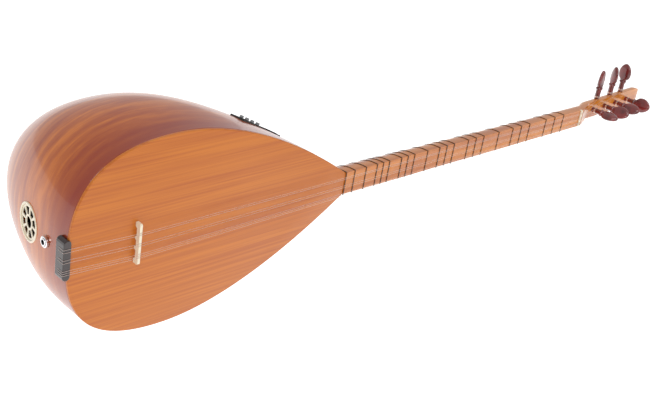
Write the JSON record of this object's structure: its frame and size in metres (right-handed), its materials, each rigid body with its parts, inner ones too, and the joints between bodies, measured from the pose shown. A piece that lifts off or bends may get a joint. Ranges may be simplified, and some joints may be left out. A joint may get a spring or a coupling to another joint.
{
  "type": "long-necked saz lute",
  "caption": "Long-necked saz with a deep carved bowl, flat soundboard, tied frets on a slim neck, turning pegs in two rows, and a pickup preamp and jack.",
  "frame": {"origin": "front edge of the nut, on the centre line of the fingerboard's face, where a hand or a hanger's yoke holds the neck", "axes": "+X along the neck to the peghead, -Y out of the soundboard's face, +Z to the bass side, up as the instrument is played"},
  "size_m": [1.1977, 0.2966, 0.2542],
  "materials": {
    "carved_wood": "clear gloss lacquer over carved wood, red burst at the rim",
    "board_wood": "gloss lacquer over straight-grained orange-brown softwood",
    "brace_wood": "bare planed softwood",
    "neck_wood": "gloss lacquer over golden-orange hardwood",
    "bone": "polished cream bone or bone-like plastic",
    "dark_wood": "polished dark hardwood",
    "peg_wood": "polished dark red-brown hardwood",
    "steel": "drawn string wire",
    "chrome": "polished plating",
    "black_plastic": "matt black moulding",
    "fret_line": "dark brown wound line"
  },
  "bodies": {
    "instrument": {"bowl": "carved_wood", "soundboard": "board_wood", "brace_lower": "brace_wood", "brace_upper": "brace_wood", "neck": "neck_wood", "peghead": "neck_wood", "nut": "bone", "bridge": "bone", "string_anchor": "dark_wood", "rosette_ring": "bone", "rosette_fretwork": "bone", "jack_sleeve": "chrome", "jack_nut": "chrome", "preamp_panel": "black_plastic", "preamp_housing": "black_plastic", "string_1": "steel", "string_2": "steel", "string_3": "steel", "string_4": "steel", "string_5": "steel", "string_6": "steel", "string_7": "steel", "fret_01": "fret_line", "fret_02": "fret_line", "fret_03": "fret_line", "fret_04": "fret_line", "fret_05": "fret_line", "fret_06": "fret_line", "fret_07": "fret_line", "fret_08": "fret_line", "fret_09": "fret_line", "fret_10": "fret_line", "fret_11": "fret_line", "fret_12": "fret_line", "fret_13": "fret_line", "fret_14": "fret_line", "fret_15": "fret_line", "fret_16": "fret_line", "fret_17": "fret_line", "fret_18": "fret_line", "fret_19": "fret_line", "fret_20": "fret_line", "fret_21": "fret_line", "fret_22": "fret_line", "fret_23": "fret_line"},
    "peg_side_1": {"peg_side_1": "peg_wood"},
    "peg_side_2": {"peg_side_2": "peg_wood"},
    "peg_side_3": {"peg_side_3": "peg_wood"},
    "peg_front_1": {"peg_front_1": "peg_wood"},
    "peg_front_2": {"peg_front_2": "peg_wood"},
    "peg_front_3": {"peg_front_3": "peg_wood"},
    "peg_front_4": {"peg_front_4": "peg_wood"},
    "slider_1": {"slider_1": "black_plastic"},
    "slider_2": {"slider_2": "black_plastic"},
    "slider_3": {"slider_3": "black_plastic"},
    "slider_4": {"slider_4": "black_plastic"},
    "battery_drawer": {"battery_drawer": "black_plastic"}
  },
  "joints": [
    {"name": "peg_side_1_turn", "type": "hinge", "parent": "instrument", "child": "peg_side_1", "pos_m": [0.083, 0.02432, 0.014], "axis": [0, 0, 1], "continuous": true},
    {"name": "peg_side_2_turn", "type": "hinge", "parent": "instrument", "child": "peg_side_2", "pos_m": [0.1265, 0.02637, 0.014], "axis": [0, 0, 1], "continuous": true},
    {"name": "peg_side_3_turn", "type": "hinge", "parent": "instrument", "child": "peg_side_3", "pos_m": [0.163, 0.02809, 0.014], "axis": [0, 0, 1], "continuous": true},
    {"name": "peg_front_1_turn", "type": "hinge", "parent": "instrument", "child": "peg_front_1", "pos_m": [0.064, 0.01542, 0], "axis": [0, -1, 0], "continuous": true},
    {"name": "peg_front_2_turn", "type": "hinge", "parent": "instrument", "child": "peg_front_2", "pos_m": [0.1015, 0.01719, 0], "axis": [0, -1, 0], "continuous": true},
    {"name": "peg_front_3_turn", "type": "hinge", "parent": "instrument", "child": "peg_front_3", "pos_m": [0.138, 0.01891, 0], "axis": [0, -1, 0], "continuous": true},
    {"name": "peg_front_4_turn", "type": "hinge", "parent": "instrument", "child": "peg_front_4", "pos_m": [0.175, 0.02066, 0], "axis": [0, -1, 0], "continuous": true},
    {"name": "slider_1_travel", "type": "slide", "parent": "instrument", "child": "slider_1", "axis": [0, 0.9934, -0.1151], "range_m": [-0.0075, 0.0075]},
    {"name": "slider_2_travel", "type": "slide", "parent": "instrument", "child": "slider_2", "axis": [0, 0.9934, -0.1151], "range_m": [-0.0075, 0.0075]},
    {"name": "slider_3_travel", "type": "slide", "parent": "instrument", "child": "slider_3", "axis": [0, 0.9934, -0.1151], "range_m": [-0.0075, 0.0075]},
    {"name": "slider_4_travel", "type": "slide", "parent": "instrument", "child": "slider_4", "axis": [0, 0.9934, -0.1151], "range_m": [-0.0075, 0.0075]},
    {"name": "battery_drawer_travel", "type": "slide", "parent": "instrument", "child": "battery_drawer", "axis": [0.4664, 0.1018, 0.8787], "range_m": [0, 0.02]}
  ]
}
